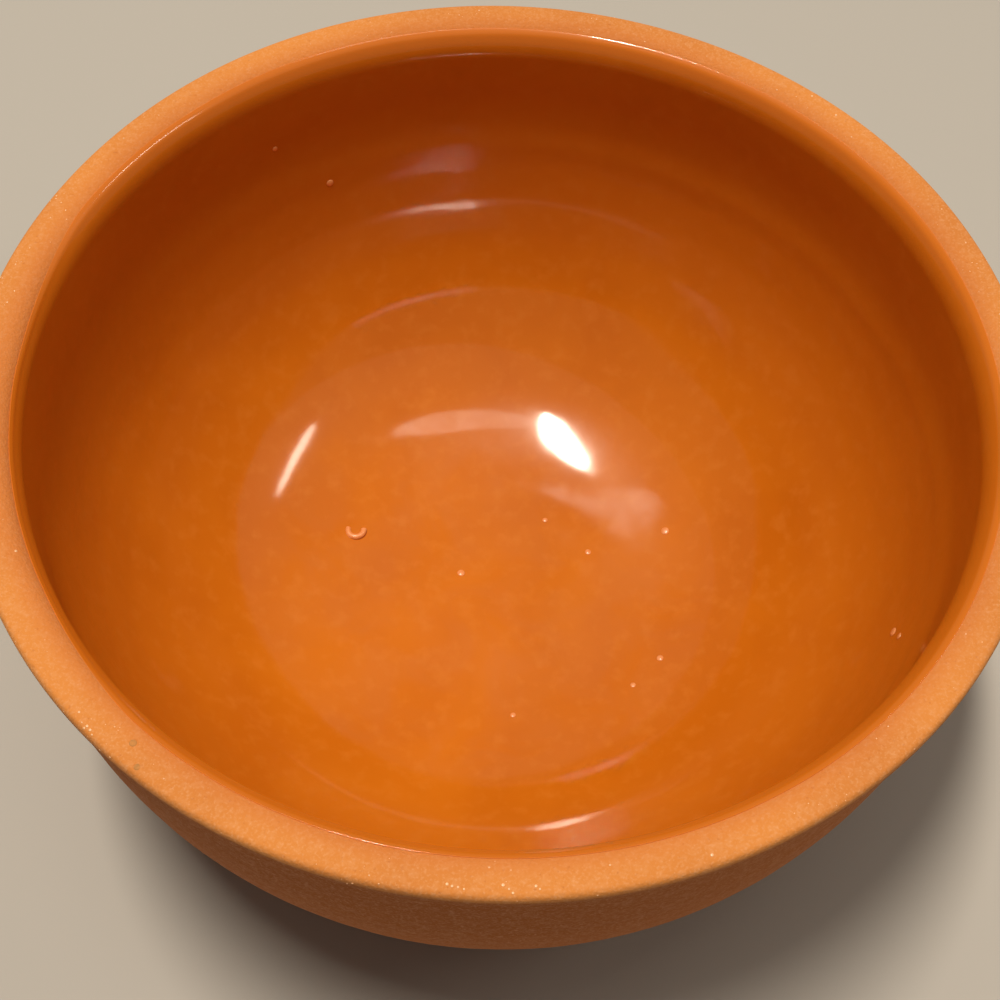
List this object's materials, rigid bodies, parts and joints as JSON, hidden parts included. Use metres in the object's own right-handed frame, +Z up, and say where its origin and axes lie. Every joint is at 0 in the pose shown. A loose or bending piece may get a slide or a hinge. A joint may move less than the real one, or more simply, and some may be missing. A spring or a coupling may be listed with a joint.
{
  "type": "terracotta fondue pot",
  "caption": "Deep round terracotta pot with a rolled bare lip, flat base and glossy glazed inside, for melting and serving hot food.",
  "frame": {"origin": "centre of the flat base, on the surface that the pot stands on", "axes": "+Z up along the turning axis, towards the mouth; the pot is round, so X and Y are alike"},
  "size_m": [0.21, 0.21, 0.107],
  "materials": {
    "bare_terracotta": "bare fired clay, matte, with fine grit",
    "clear_glaze": "glossy clear glaze over red clay"
  },
  "bodies": {
    "root": {"clay_pot": "bare_terracotta", "glaze_lining": "clear_glaze"}
  },
  "joints": []
}
